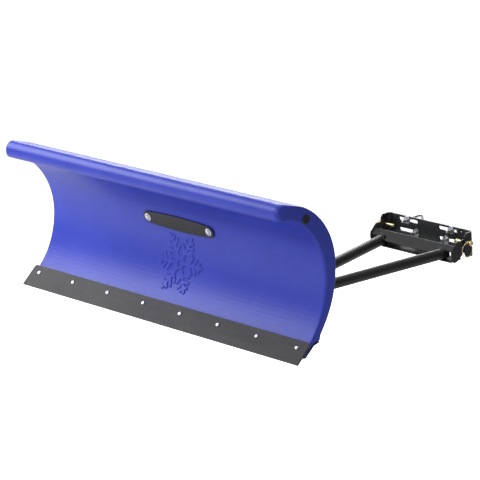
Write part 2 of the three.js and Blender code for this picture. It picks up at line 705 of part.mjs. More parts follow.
// A bent rod that the winch rope hooks to.
function winchLoop() {
  const leg = [{ line: LOOP.leg / 2 }, { line: LOOP.leg / 2 }];
  const path = trace(vec(-LOOP.half, 0), 90, [...leg, { radius: LOOP.half, turn: -180 }, ...leg]);
  return bentRod(path, LOOP.radius, 24).rotateZ(Math.PI / 2);
}

place(nose, 'winch_loop', winchLoop(), 'black', [0, LOOP.y, TONGUE_TOP + GAP]);

// ---- Push frame: tubes and crossbar, in the plane that climbs towards the vehicle ---------------------------

const frame = subgroup(APEX.y, APEX.z, FRAME_RISE);

// A tube along +Y that runs outwards, at any radius and from the apex on.
function slantedRod(pairs, side) {
  return turned(pairs, 24).rotateX(-Math.PI / 2).rotateZ(-side * Math.atan(TUBE.spread));
}

// A tube cut square to the row's axes at the end plate in front, and square to its plane inside the crossbar.
function pushTube(side) {
  const { radius, wall, end } = TUBE;
  const inner = radius - wall;
  const tube = slantedRod([[inner, 0], [radius, 0], [radius, LONG], [inner, LONG], [inner, 0]], side);
  const front = box(-LONG, LONG, 0, endPlateRear + GAP, -LONG, LONG)
    .translate(0, -APEX.y, -APEX.z).rotateX(-rad(FRAME_RISE));
  return cut(tube, front, box(-LONG, LONG, end, end + LONG, -LONG, LONG));
}

for (const [name, side] of SIDES) {
  place(frame, `push_tube_${name}`, pushTube(side), 'black');
}

// A folded plate over the tubes' ends: a face that slopes up and back, with an apron between the tubes, and a
// flange that goes down behind, open beside each ear.
function crossbarTop() {
  const { half, thick, bend } = CROSS;
  const { y, z, slope, apron, length, apronHalf } = FACE;
  const along = vec(Math.cos(rad(slope)), Math.sin(rad(slope)));
  const low = vec(y, z).sub(along.clone().multiplyScalar(apron));
  const path = trace(low, slope, [
    { line: apron + length - bend },
    { radius: bend, turn: -slope - 90 },
    { line: z + length * along.y + TUBE.radius - 3 * bend },
  ]);
  const plate = profile(sheet(path, thick), -half, half);
  const outside = (from, side, y0, y1, top) => {
    return box(Math.min(side * from, side * LONG), Math.max(side * from, side * LONG), y0, y1, -LONG, top);
  };
  const tools = SIDES.flatMap(([, side]) => [
    outside(apronHalf, side, 0, y, LONG),
    outside(WINDOW.from, side, y, LONG, WINDOW.top),
    cut(
      slantedRod([[0, 0], [TUBE.radius + GAP, 0], [TUBE.radius + GAP, LONG], [0, LONG]], side),
      box(-LONG, LONG, TUBE.end + GAP, TUBE.end + LONG, -LONG, LONG),
    ),
  ]);
  return cut(plate, ...tools);
}

function crossbarBottom() {
  const level = -TUBE.radius - GAP;
  return box(-CROSS.half, CROSS.half, FLOOR.front, FLOOR.rear, level - CROSS.thick, level);
}

// An end plate that carries the lift pin behind and above the crossbar.
function ear() {
  const outline = [
    vec(760, 8),
    vec(762, -12),
    vec(772, -26),
    vec(786, -24),
    vec(808, -10),
    ...circle(PIVOT.y, PIVOT.z, PIVOT.boss, 10, -50, 110),
    vec(810, 44),
    vec(792, 44),
    vec(763, 21),
  ];
  return cut(profile(outline, 0, PLATE), rodX(PIVOT.hole, -LONG, LONG, PIVOT.y, PIVOT.z, 20));
}

place(frame, 'crossbar_top', crossbarTop(), 'black');
place(frame, 'crossbar_bottom', crossbarBottom(), 'black');
const earX = CROSS.half + GAP;
place(frame, 'ear_left', ear(), 'black', [-earX - PLATE, 0, 0]);
place(frame, 'ear_right', ear(), 'black', [earX, 0, 0]);

// ---- Mount bracket, hook bolts and lock pins ----------------------------------------------------------------

const mount = subgroup(APEX.y, APEX.z, FRAME_RISE);
const slotPlaces = SLOT.rows.flatMap((z) => SLOT.places.map((x) => [x, z]));

// A slot through the bracket's back plate.
function slotTool(x, z) {
  const radius = SLOT.width / 2;
  const reach = SLOT.length / 2 - radius;
  const ends = [...circle(reach, 0, radius, 8, -90, 90), ...circle(-reach, 0, radius, 8, 90, 270)];
  return slab(ends, -10, 20).rotateX(Math.PI / 2).translate(x, BRACKET.plateY + PLATE, z);
}

// A small hole near one end of the bracket's back plate.
function spareHole() {
  const { x, z, radius } = SPARE_HOLE;
  return rod(radius, -10, 20, 12).rotateX(Math.PI / 2).translate(x, BRACKET.plateY + PLATE, z);
}

// A plate folded forward at both ends into cheeks that hold the lift pins.
function mountBracket() {
  const { half, plateY, top, bottom, depth, bend, chamfer } = BRACKET;
  const inner = half - PLATE;
  const path = trace(vec(-inner, plateY - depth), 90, [
    { line: depth - bend },
    { radius: bend, turn: -90 },
    { line: 2 * (inner - bend) },
    { radius: bend, turn: -90 },
    { line: depth - bend },
  ]);
  const front = plateY - depth;
  const corners = [[top, 1], [bottom, -1]].map(([edge, way]) => profile([
    vec(front + chamfer, edge + way),
    vec(front - 5, edge + way),
    vec(front - 5, edge - way * chamfer),
    vec(front, edge - way * chamfer),
  ], -LONG, LONG));
  return cut(
    slab(sheet(path, -PLATE), bottom, top),
    ...corners,
    ...slotPlaces.map(([x, z]) => slotTool(x, z)),
    spareHole(),
    rodX(PIVOT.hole, -LONG, LONG, PIVOT.y, PIVOT.z, 20),
  );
}

place(mount, 'mount_bracket', mountBracket(), 'black');

// A hook bolt that reaches back through a slot and turns over the vehicle's frame tube.
function hookBolt(reach) {
  const { front, bend, tip, radius } = HOOK;
  const path = trace(vec(-front, 0), 0, [
    { line: front },
    { line: reach / 2 },
    { line: reach / 2 },
    { radius: bend, turn: -180 },
    { line: tip / 2 },
    { line: tip / 2 },
  ]);
  return bentRod(path, radius, 22);
}

HOOK_PLACES.forEach(({ x, row, reach }, i) => {
  const z = SLOT.rows[row];
  const nut = flangeNut(HOOK.washer).rotateX(-Math.PI / 2);
  place(mount, `hook_bolt_${i + 1}`, hookBolt(reach), 'zinc', [x, BRACKET.plateY, z]);
  place(mount, `hook_nut_${i + 1}`, nut, 'zinc', [x, BRACKET.plateY - GAP, z]);
});

// The lift pins and their rings are turned by the rings' swing from plumb, so they stand in the row's frame.
const riseTurn = rad(FRAME_RISE);
const liftPivot = vec(
  APEX.y + PIVOT.y * Math.cos(riseTurn) - PIVOT.z * Math.sin(riseTurn),
  APEX.z + PIVOT.y * Math.sin(riseTurn) + PIVOT.z * Math.cos(riseTurn),
);
const pins = subgroup(liftPivot.x, liftPivot.y, 0);

// A shouldered pin along X with a cross hole for its ring.
function lockPin(side) {
  const { radius, head, headEnd, inner, holeX, hole } = LOCK;
  const shoulder = BRACKET.half + GAP;
  const end = holeX + headEnd;
  const pin = turned([[0, inner], [radius - 1.5, inner], [radius, inner + 4], [radius, shoulder],
    [head, shoulder], [head, end - 4], [head - 3, end], [0, end]], 20);
  const tool = rod(hole, -15, 15, 14).rotateX(Math.PI / 2).translate(side * holeX, 0, -1);
  return cut(pin.rotateY(side * Math.PI / 2), tool);
}

function pinRing() {
  const { radius, wire: thick } = PIN_RING;
  return new THREE.TorusGeometry(radius, thick, 6, 20).rotateY(Math.PI / 2).translate(0, 0, -radius);
}

for (const [name, side] of SIDES) {
  place(pins, `lift_pin_${name}`, lockPin(side), 'yellow', [0, 0, 0], PIN_RING.swing);
  place(pins, `pin_ring_${name}`, pinRing(), 'yellow', [side * LOCK.holeX, 0, 0], PIN_RING.swing);
}

// The origin is the middle of the ground under the whole plow.
const reach = new THREE.Box3().setFromObject(plow, true);
const middle = reach.getCenter(new THREE.Vector3());
plow.position.set(-middle.x, -middle.y, -reach.min.z);

export default plow;
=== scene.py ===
"""A snow plow blade for an all-terrain vehicle, over a pale studio floor, in metres and the row's frame."""

import json
import math

import bpy
import numpy as np
from mathutils import Matrix, Vector


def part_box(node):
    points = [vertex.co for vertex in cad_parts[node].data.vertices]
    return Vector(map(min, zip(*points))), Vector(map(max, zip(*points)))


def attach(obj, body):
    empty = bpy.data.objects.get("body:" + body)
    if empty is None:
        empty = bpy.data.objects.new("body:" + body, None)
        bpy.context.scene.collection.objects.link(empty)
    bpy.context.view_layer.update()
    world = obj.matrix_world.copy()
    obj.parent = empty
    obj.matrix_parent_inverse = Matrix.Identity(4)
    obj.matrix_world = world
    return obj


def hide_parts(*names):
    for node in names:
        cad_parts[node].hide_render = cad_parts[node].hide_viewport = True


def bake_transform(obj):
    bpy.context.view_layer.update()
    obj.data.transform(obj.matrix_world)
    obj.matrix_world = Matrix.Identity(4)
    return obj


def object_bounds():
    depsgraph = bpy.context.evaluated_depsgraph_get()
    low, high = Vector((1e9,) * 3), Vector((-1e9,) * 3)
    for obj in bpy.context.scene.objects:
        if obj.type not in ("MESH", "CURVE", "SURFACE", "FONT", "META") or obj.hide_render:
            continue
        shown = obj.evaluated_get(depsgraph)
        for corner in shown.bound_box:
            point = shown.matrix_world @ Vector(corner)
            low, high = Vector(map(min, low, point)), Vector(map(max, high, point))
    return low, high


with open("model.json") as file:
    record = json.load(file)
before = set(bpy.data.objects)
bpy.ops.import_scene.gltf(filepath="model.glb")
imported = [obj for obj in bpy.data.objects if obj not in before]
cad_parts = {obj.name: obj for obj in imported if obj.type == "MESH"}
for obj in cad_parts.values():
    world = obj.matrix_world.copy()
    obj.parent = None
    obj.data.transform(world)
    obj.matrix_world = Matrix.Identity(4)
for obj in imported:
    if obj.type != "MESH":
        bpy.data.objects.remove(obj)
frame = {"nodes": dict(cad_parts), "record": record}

cad_box = [list(corner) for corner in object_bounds()]

MM = 0.001
SIDES = (("left", -1), ("right", 1))
EDGE_AT = Vector((0.0, -0.588189, 0.003653))     # metres: the middle of the cutting edge, in the row's frame

# ---- Driving dimensions, in millimetres and the blade's own frame unless a comment says otherwise --------

LEAN = 8.0                      # degrees the blade leans forward
BAR_SLOPE = 44.5                # degrees the wear bar climbs from the ground, before the lean
SEAT = dict(start=29.0, length=51.0, depth=6.3, flange=16.2)
SWEEP = ((70.0, 7.7), (279.0, 37.8), (225.0, 68.3))          # radius and left turn of each arc of the face
LIP = dict(under=36.0, nose=22.0, flat=6.0, crown=27.0, slope=12.2, top=64.0)
BACK = ((60.0, 8.0), (216.0, 69.8), (None, 16.0), (311.0, 37.0))
EDGE = dict(body=9.0, flange=5.0, nose=17.0)                 # rounding of the moulding's ends
EMBLEM = dict(height=170.0, radius=100.0, stroke=10.5, rise=3.4, soft=2.6, cell=1.35)
ZONE = (60.0, 132.0)                                         # how far back the concave face lies there
TRIP_COIL = dict(coil=15.5, hook_low=7.4, hook_high=10.4, neck=24.0,
                 wire=2.5, eye=12.0, eye_wire=3.5, pitch=1.32)
LOCK_COIL = dict(wire=1.1, turns=5)
FRAME = dict(rise=13.76, y=409.5, z=32.3)                    # the push frame's climbing plane
TUBE = dict(spread=0.185, weld_radius=19.4)
CROSSBAR = dict(face=766.0, top=17.0, slope=38.0, ear=188.6)
BEAD = dict(nose=2.4, collar=2.2, ear=2.0, ripple=0.12)      # radii of the weld beads


# ---- Paths -----------------------------------------------------------------------------------------------

def turned(point, degrees):
    """A 2D point turned about the origin."""
    angle = math.radians(degrees)
    return Vector((point[0] * math.cos(angle) - point[1] * math.sin(angle),
                   point[0] * math.sin(angle) + point[1] * math.cos(angle)))


def trace(start, heading, steps, degrees=3.0):
    """Points along lines (None, length) and arcs (radius, turn), where a positive turn is to the left."""
    at, way = Vector(start), Vector((math.cos(math.radians(heading)), math.sin(math.radians(heading))))
    points = [at.copy()]
    for radius, amount in steps:
        if radius is None:
            at = at + way * amount
            points.append(at.copy())
            continue
        side = 1 if amount > 0 else -1
        centre = at + Vector((-way.y, way.x)) * radius * side
        count = max(2, math.ceil(abs(amount) / (degrees if radius > 100 else 3 * degrees)))
        points += [centre + turned(at - centre, amount * i / count) for i in range(1, count + 1)]
        at, way = points[-1], turned(way, amount)
    return points


def rounded(points, radius, sharp=25.0):
    """A closed outline with its sharp corners turned into short arcs."""
    result = []
    for i, point in enumerate(points):
        before, after = points[i - 1], points[(i + 1) % len(points)]
        into, out = (point - before), (after - point)
        turn = into.angle(out)
        if math.degrees(turn) < sharp:
            result.append(point)
            continue
        back = min(radius * math.tan(turn / 2), 0.45 * into.length, 0.45 * out.length)
        first, last = point - into.normalized() * back, point + out.normalized() * back
        for k in range(5):
            t = k / 4
            result.append(first * (1 - t) ** 2 + point * 2 * t * (1 - t) + last * t ** 2)
    return result


def refined(points, wanted):
    """A closed outline with its pieces cut to the length that wanted(middle) gives."""
    result = []
    for i, point in enumerate(points):
        after = points[(i + 1) % len(points)]
        count = max(1, math.ceil((after - point).length / wanted((point + after) / 2)))
        result += [point.lerp(after, k / count) for k in range(count)]
    return result


def outward(points):
    """The unit vectors that point out of a closed outline that runs clockwise."""
    normals = []
    for i, point in enumerate(points):
        along = (points[(i + 1) % len(points)] - point).normalized() + (point - points[i - 1]).normalized()
        along.normalize()
        normals.append(Vector((-along.y, along.x)))
    return normals


# ---- Mesh making -----------------------------------------------------------------------------------------

def mesh_object(name, verts, faces, smooth=True):
    mesh = bpy.data.meshes.new(name)
    mesh.from_pydata([tuple(v) for v in verts], [], faces)
    mesh.validate()
    mesh.update()
    mesh.polygons.foreach_set("use_smooth", [smooth] * len(mesh.polygons))
    obj = bpy.data.objects.new(name, mesh)
    bpy.context.scene.collection.objects.link(obj)
    return obj


def grid_faces(rows, columns, closed_rows=False, closed_columns=True):
    """Quads of a grid whose vertices run row by row."""
    faces = []
    for r in range(rows if closed_rows else rows - 1):
        for c in range(columns if closed_columns else columns - 1):
            a, b = r * columns + c, r * columns + (c + 1) % columns
            up = ((r + 1) % rows) * columns
            faces.append((a, b, up + (c + 1) % columns, up + c))
    return faces


def sweep(name, path, radius, sides=14, closed=False):
    """A round rod along a path of points. radius is a number or one number for each point."""
    path = np.array([tuple(p) for p in path], float)
    count = len(path)
    radii = np.full(count, radius) if np.isscalar(radius) else np.array(radius)
    if closed:
        tangents = np.roll(path, -1, 0) - np.roll(path, 1, 0)
    else:
        tangents = np.gradient(path, axis=0)
    tangents /= np.linalg.norm(tangents, axis=1)[:, None]
    normal = np.cross(tangents[0], (1, 0, 0) if abs(tangents[0][0]) < 0.9 else (0, 1, 0))
    verts = []
    for i in range(count):
        normal = normal - tangents[i] * (normal @ tangents[i])
        normal /= np.linalg.norm(normal)
        other = np.cross(tangents[i], normal)
        for k in range(sides):
            angle = 2 * math.pi * k / sides
            verts.append(path[i] + radii[i] * (math.cos(angle) * normal + math.sin(angle) * other))
    faces = grid_faces(count, sides, closed_rows=closed)
    if not closed:
        faces.append(tuple(range(sides - 1, -1, -1)))
        faces.append(tuple(range((count - 1) * sides, count * sides)))
    return mesh_object(name, verts, faces)


def bevel(obj, width, segments=3, angle=30):
    """Rounds an object's sharp edges, after joining the split vertices and flat triangles of its mesh."""
    weld = obj.modifiers.new("weld", "WELD")
    weld.merge_threshold = 0.02 * MM
    flat = obj.modifiers.new("flat", "DECIMATE")
    flat.decimate_type = "DISSOLVE"
    flat.angle_limit = math.radians(1.0)
    soft = obj.modifiers.new("bevel", "BEVEL")
    soft.width = width * MM
    soft.segments = segments
    soft.limit_method = "ANGLE"
    soft.angle_limit = math.radians(angle)
    soft.harden_normals = False
    weighted = obj.modifiers.new("normals", "WEIGHTED_NORMAL")
    weighted.keep_sharp = False
    mesh = obj.data
    mesh.polygons.foreach_set("use_smooth", [True] * len(mesh.polygons))


# ---- Materials -------------------------------------------------------------------------------------------

class Finish:
    """A procedural material with a short way to add and join nodes."""

    def __init__(self, name, metallic=0.0):
        self.material = bpy.data.materials.new(name)
        self.material.use_nodes = True
        self.tree = self.material.node_tree
        self.shader = self.tree.nodes["Principled BSDF"]
        self.shader.inputs["Metallic"].default_value = metallic
        self.coords = self.tree.nodes.new("ShaderNodeTexCoord").outputs["Object"]

    def node(self, kind, **settings):
        made = self.tree.nodes.new(kind)
        for key, value in settings.items():
            setattr(made, key, value)
        return made

    def link(self, source, target):
        self.tree.links.new(source, target)

    def noise(self, scale, detail=3.0, rough=0.55, stretch=None):
        made = self.node("ShaderNodeTexNoise")
        made.inputs["Scale"].default_value = scale
        made.inputs["Detail"].default_value = detail
        made.inputs["Roughness"].default_value = rough
        if stretch:
            mapping = self.node("ShaderNodeMapping")
            mapping.inputs["Scale"].default_value = stretch
            self.link(self.coords, mapping.inputs["Vector"])
            self.link(mapping.outputs["Vector"], made.inputs["Vector"])
        else:
            self.link(self.coords, made.inputs["Vector"])
        return made.outputs["Fac"]

    def ramp(self, source, stops):
        """A colour or grey ramp: stops are (position, colour or number)."""
        made = self.node("ShaderNodeValToRGB")
        elements = made.color_ramp.elements
        while len(elements) < len(stops):
            elements.new(0.5)
        for element, (position, value) in zip(elements, stops):
            element.position = position
            element.color = (value, value, value, 1) if isinstance(value, float) else (*value, 1)
        self.link(source, made.inputs["Fac"])
        return made.outputs["Color"]

    def mix(self, factor, first, second):
        made = self.node("ShaderNodeMix", data_type="RGBA")
        for socket, value in ((made.inputs[0], factor), (made.inputs[6], first), (made.inputs[7], second)):
            if isinstance(value, bpy.types.NodeSocket):
                self.link(value, socket)
            elif isinstance(value, float):
                socket.default_value = value
            else:
                socket.default_value = (*value, 1)
        return made.outputs[2]

    def colour(self, source):
        self.link(source, self.shader.inputs["Base Color"])

    def roughness(self, source, low, high):
        made = self.node("ShaderNodeMapRange")
        made.inputs["To Min"].default_value = low
        made.inputs["To Max"].default_value = high
        self.link(source, made.inputs["Value"])
        self.link(made.outputs["Result"], self.shader.inputs["Roughness"])

    def bumps(self, *layers):
        """Layers of (height source, depth in millimetres), stacked."""
        under = None
        for source, depth in layers:
            made = self.node("ShaderNodeBump")
            made.inputs["Distance"].default_value = depth * MM
            self.link(source, made.inputs["Height"])
            if under:
                self.link(under, made.inputs["Normal"])
            under = made.outputs["Normal"]
        self.link(under, self.shader.inputs["Normal"])

    def set(self, **values):
        for key, value in values.items():
            self.shader.inputs[key.replace("_", " ")].default_value = value


def moulded_blue():
    """Rotomoulded polyethylene: satin, with a faint mottle, a fine grain and a few rubbed patches."""
    made = Finish("moulded_blue")
    mottle = made.noise(7.0, detail=4.0)
    base = made.ramp(mottle, ((0.3, (0.032, 0.053, 0.500)), (0.7, (0.040, 0.066, 0.560))))
    rubbed = made.ramp(made.noise(38.0, detail=6.0, stretch=(0.35, 1.0, 1.0)), ((0.62, 0.0), (0.80, 0.22)))
    made.colour(made.mix(rubbed, base, (0.075, 0.108, 0.620)))
    made.roughness(made.noise(55.0, detail=5.0), 0.34, 0.48)
    made.bumps((made.noise(900.0, detail=2.0), 0.05), (made.noise(16.0, detail=1.0), 0.5))
    made.set(Specular_IOR_Level=0.45)
    return made


def bar_black():
    """Coated flat bar: near-black, matt, dusty where the snow and the ground polish it."""
    made = Finish("bar_black")
    dust = made.noise(22.0, detail=7.0, stretch=(0.3, 1.0, 1.0))
    base = made.ramp(dust, ((0.35, (0.030, 0.030, 0.031)), (0.75, (0.048, 0.047, 0.047))))
    made.colour(base)
    made.roughness(made.noise(120.0), 0.50, 0.66)
    made.bumps((made.noise(1300.0, detail=2.0), 0.06), (made.noise(70.0, detail=3.0), 0.10))
    return made


def powder_black():
    """Satin black powder coat with its fine orange peel."""
    made = Finish("powder_black")
    cloud = made.noise(14.0, detail=4.0)
    made.colour(made.ramp(cloud, ((0.3, (0.0125, 0.0120, 0.0135)), (0.75, (0.021, 0.020, 0.022)))))
    made.roughness(made.noise(90.0, detail=4.0), 0.36, 0.52)
    made.bumps((made.noise(1100.0, detail=2.0), 0.05), (made.noise(160.0, detail=2.0), 0.08))
    return made


def plate_black():
    """The front plate's coat, a little warmer than the frame's."""
    made = Finish("plate_black")
    cloud = made.noise(25.0, detail=4.0)
    made.colour(made.ramp(cloud, ((0.3, (0.016, 0.014, 0.017)), (0.75, (0.024, 0.021, 0.025)))))
    made.roughness(made.noise(90.0, detail=4.0), 0.42, 0.56)
    made.bumps((made.noise(1100.0, detail=2.0), 0.05),)
    return made


def plug_black():
    """Matt black plastic."""
    made = Finish("plug_black")
    made.colour(made.ramp(made.noise(150.0), ((0.3, (0.010, 0.010, 0.011)), (0.75, (0.020, 0.020, 0.021)))))
    made.roughness(made.noise(300.0), 0.60, 0.78)
    made.bumps((made.noise(1500.0), 0.05),)
    return made


def bright_zinc():
    """Bright zinc plate: bluish, slightly cloudy."""
    made = Finish("bright_zinc", metallic=1.0)
    cloud = made.noise(130.0, detail=5.0)
    made.colour(made.ramp(cloud, ((0.3, (0.60, 0.62, 0.65)), (0.7, (0.80, 0.82, 0.84)))))
    made.roughness(made.noise(260.0, detail=4.0), 0.20, 0.38)
    made.bumps((made.noise(900.0), 0.03),)
    return made


def yellow_zinc():
    """Passivated zinc plate: pale yellow with pink and green clouds."""
    made = Finish("yellow_zinc", metallic=1.0)
    hue = made.ramp(made.noise(110.0, detail=3.0), ((0.30, (0.86, 0.60, 0.36)), (0.48, (0.88, 0.76, 0.40)),
                                                   (0.66, (0.78, 0.80, 0.45)), (0.85, (0.86, 0.62, 0.46))))
    made.colour(hue)
    made.roughness(made.noise(260.0, detail=4.0), 0.22, 0.36)
    made.bumps((made.noise(900.0), 0.03),)
    return made


def spring_grey():
    """Plated spring wire: grey steel, darker between its coils' rub marks."""
    made = Finish("spring_grey", metallic=1.0)
    cloud = made.noise(90.0, detail=5.0)
    made.colour(made.ramp(cloud, ((0.3, (0.34, 0.35, 0.37)), (0.7, (0.52, 0.53, 0.55)))))
    made.roughness(made.noise(220.0, detail=4.0), 0.28, 0.46)
    made.bumps((made.noise(1200.0), 0.04),)
    return made


FINISHES = {
    "blade_plastic": moulded_blue(),
    "wear_steel": bar_black(),
    "black_steel": powder_black(),
    "badge_steel": plate_black(),
    "plug_plastic": plug_black(),
    "zinc_steel": bright_zinc(),
    "yellow_zinc": yellow_zinc(),
    "spring_steel": spring_grey(),
}
SLOT_OF = {entry["node"]: entry["material_slot"] for entry in frame["record"]["subparts"]}
BODY_OF = {node: body for body, nodes in frame["record"]["behaviour"]["bodies"].items() for node in nodes}


def dress(obj, slot):
    obj.data.materials.clear()
    obj.data.materials.append(FINISHES[slot].material)


def stand_for(obj, node):
    """A new piece takes a CAD node's place, finish and body."""
    dress(obj, SLOT_OF[node])
    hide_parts(node)
    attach(obj, BODY_OF[node])
    return obj


# ---- Blade shell -----------------------------------------------------------------------------------------

def on_slope(along, depth):
    """Up the wear bar's slope, and back from its face."""
    return turned((along, -depth), BAR_SLOPE)


def blade_outline():
    """The moulding's section, clockwise from the foot of its seat."""
    face = trace(on_slope(SEAT["start"], SEAT["depth"]), BAR_SLOPE, ((None, SEAT["length"]),) + SWEEP)
    lip = trace(face[-1], 180.0, ((None, LIP["under"]), (LIP["nose"], -90.0), (None, LIP["flat"]),
                                  (LIP["crown"], -90.0 - LIP["slope"]), (None, LIP["top"])))
    back_steps = tuple((radius, amount if radius is None else -amount) for radius, amount in BACK)
    back = trace(lip[-1], -LIP["slope"], back_steps)
    flange_back = SEAT["depth"] + SEAT["flange"]
    foot = [Vector((104.0, 55.0)), on_slope(88.0, flange_back), on_slope(43.0, flange_back)]
    return face + lip[1:] + back[1:] + foot


def near_emblem(point):
    """Whether a point of the section lies on the concave face at the emblem's height."""
    return abs(point.y - EMBLEM["height"]) < EMBLEM["radius"] + 6 and ZONE[0] < point.x < ZONE[1]


def snowflake_rise(x, along):
    """How far the emblem stands out of the face, in millimetres, at a place about its centre."""
    reach = EMBLEM["radius"]
    strokes = []
    for arm in range(6):
        way = turned((1, 0), 60 * arm)
        strokes.append((way * 0.17 * reach, way * reach))
        for place, length in ((0.40, 0.30), (0.62, 0.25), (0.82, 0.14)):
            for side in (-1, 1):
                root = way * place * reach
                strokes.append((root, root + turned(way, side * 58) * length * reach))
        strokes.append((way * 0.17 * reach, turned(way, 60) * 0.17 * reach))
    nearest = np.full(x.shape, 1e9)
    for a, b in strokes:
        run = b - a
        t = np.clip(((x - a.x) * run.x + (along - a.y) * run.y) / run.length_squared, 0, 1)
        nearest = np.minimum(nearest, np.hypot(x - a.x - t * run.x, along - a.y - t * run.y))
    rise = np.clip((EMBLEM["stroke"] / 2 + EMBLEM["soft"] / 2 - nearest) / EMBLEM["soft"], 0, 1)
    return EMBLEM["rise"] * rise * rise * (3 - 2 * rise)


def end_rounding(points):
    """The rounding radius of the moulding's ends at each point of its section."""
    radii = []
    for point in points:
        nose = max(0.0, 1 - math.hypot(point.x + 62, point.y - 468) / 34)
        thin = min(max((100 - point.y) / 40, 0.0), 1.0)
        radii.append(EDGE["body"] + (EDGE["nose"] - EDGE["body"]) * min(1, 2 * nose)
                     - (EDGE["body"] - EDGE["flange"]) * thin)
    return radii


def blade_shell():
    low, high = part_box("blade_shell")
    half = (high.x - low.x) / 2 / MM
    outline = rounded(blade_outline(), 4.0)
    outline = refined(outline, lambda p: EMBLEM["cell"] if near_emblem(p) else 9.0)
    normals = outward(outline)
    radii = end_rounding(outline)
    columns = len(outline)
    section = np.array([tuple(p) for p in outline])
    out = np.array([tuple(n) for n in normals])
    zone = np.array([near_emblem(p) for p in outline])
    lengths = np.concatenate(([0.0], np.cumsum(np.linalg.norm(np.diff(section, axis=0), axis=1))))
    centre = lengths[zone][np.argmin(np.abs(section[zone, 1] - EMBLEM["height"]))]

    reach = EMBLEM["radius"] + 6
    fine = np.arange(-reach, reach + 0.1, EMBLEM["cell"])
    clear = half - EDGE["nose"] - 2
    coarse = np.linspace(reach + 8, clear, 14)
    arc = [math.radians(a) for a in range(0, 91, 15)]
    middle = list(-coarse[::-1]) + list(fine) + list(coarse)
    verts = []

    def ring(x, inset):
        flat = section - out * inset[:, None]
        for i in range(columns):
            verts.append((x[i] * MM, flat[i, 0] * MM, flat[i, 1] * MM))

    radii = np.array(radii)
    for angle in reversed(arc):
        ring(-(half - radii + radii * math.sin(angle)), radii * (1 - math.cos(angle)))
    for x in middle:
        rise = np.where(zone, snowflake_rise(np.full(columns, x), lengths - centre), 0.0)
        ring(np.full(columns, x), -rise)
    for angle in arc:
        ring(half - radii + radii * math.sin(angle), radii * (1 - math.cos(angle)))
    rows = len(verts) // columns
    faces = grid_faces(rows, columns)
    faces.append(tuple(range(columns - 1, -1, -1)))
    faces.append(tuple(range((rows - 1) * columns, rows * columns)))
    shell = mesh_object("blade_moulding", verts, faces)
    shell.data.flip_normals()                # the outline runs clockwise, so its quads are made facing inwards
    shell.data.transform(Matrix.Translation(EDGE_AT) @ Matrix.Rotation(math.radians(LEAN), 4, "X"))
    weighted = shell.modifiers.new("normals", "WEIGHTED_NORMAL")
    weighted.keep_sharp = False
    stand_for(shell, "blade_shell")


blade_shell()

# ---- Springs ---------------------------------------------------------------------------------------------

def along_line(foot, top, local):
    """Places local points, with Z along a line from foot towards top and X along the row's X, in the row."""
    way = (top - foot).normalized()
    side = Vector((1, 0, 0))
    other = way.cross(side)
    return [foot + side * p[0] + other * p[1] + way * p[2] for p in local]


def trip_spring(name):
    """A close coil hooked round the eye's wire below and round the spring bar above."""
    eye_low, eye_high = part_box("spring_eye_" + name)
    bar_low, bar_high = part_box("spring_bar")
    x = (eye_low.x + eye_high.x) / 2
    ring = TRIP_COIL["eye"] * MM
    eye = Vector((x, (eye_low.y + eye_high.y) / 2, eye_high.z - ring - TRIP_COIL["eye_wire"] * MM))
    bar = Vector((x, (bar_low.y + bar_high.y) / 2, (bar_low.z + bar_high.z) / 2))
    way = (bar - eye).normalized()
    foot = eye + way * ring
    length = (bar - foot).length / MM
    coil, neck, wire = TRIP_COIL["coil"], TRIP_COIL["neck"], TRIP_COIL["wire"]
    hook_low, hook_high = TRIP_COIL["hook_low"], TRIP_COIL["hook_high"]
    turns = math.floor((length - 2 * neck) / (2 * wire * TRIP_COIL["pitch"])) + 0.25
    local = []
    for step in range(21):
        angle = math.radians(-150 + 12 * step)
        local.append((0, hook_low * math.sin(angle), -hook_low * math.cos(angle)))
    per_turn = 20
    count = round(turns * per_turn)
    for step in range(count + 1):
        angle = 2 * math.pi * step / per_turn
        ease = min(1.0, step / per_turn, (count - step) / per_turn)
        radius = coil * (0.55 + 0.45 * ease)
        rise = neck + (length - 2 * neck) * step / count
        local.append((radius * math.sin(angle), radius * math.cos(angle), rise))
    for step in range(21):
        angle = math.radians(90 - 12 * step)
        local.append((0, hook_high * math.sin(angle), length + hook_high * math.cos(angle)))
    path = along_line(foot, bar, [tuple(c * MM for c in p) for p in local])
    obj = sweep("trip_coil_" + name, smooth_path(path), wire * MM, sides=10)
    dress(obj, "spring_steel")
    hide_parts("trip_spring_" + name)
    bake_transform(obj)


def smooth_path(points, rounds=2):
    """Evens out the corners of an open path, with its ends kept."""
    path = np.array([tuple(p) for p in points])
    for _ in range(rounds):
        path[1:-1] = (path[:-2] + 2 * path[1:-1] + path[2:]) / 4
    return path


def pin_spring():
    """The lock pin's coil, from the pin's collar up to the top of its guide."""
    low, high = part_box("angle_pin_spring")
    x, y = (low.x + high.x) / 2, (low.y + high.y) / 2
    wire, turns = LOCK_COIL["wire"] * MM, LOCK_COIL["turns"]
    radius = (high.x - low.x) / 2 - wire
    bottom, top = low.z + wire, high.z - wire
    path = []
    for step in range(24 * turns + 1):
        angle = 2 * math.pi * step / 24
        path.append((x + radius * math.cos(angle), y + radius * math.sin(angle),
                     bottom + (top - bottom) * step / (24 * turns)))
    obj = sweep("lock_coil", path, wire, sides=8)
    dress(obj, "spring_steel")
    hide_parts("angle_pin_spring")
    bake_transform(obj)


for spring_side, _ in SIDES:
    trip_spring(spring_side)
pin_spring()


# ---- Weld beads ------------------------------------------------------------------------------------------

def bead(name, path, radius, body, closed=False):
    """A rippled weld bead along a path."""
    points = np.array([tuple(p) for p in path])
    radii = radius * (1 + BEAD["ripple"] * np.sin(np.arange(len(points)) * 2.1)) * MM
    obj = sweep("weld_" + name, points, radii, sides=8, closed=closed)
    dress(obj, "black_steel")
    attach(obj, body)


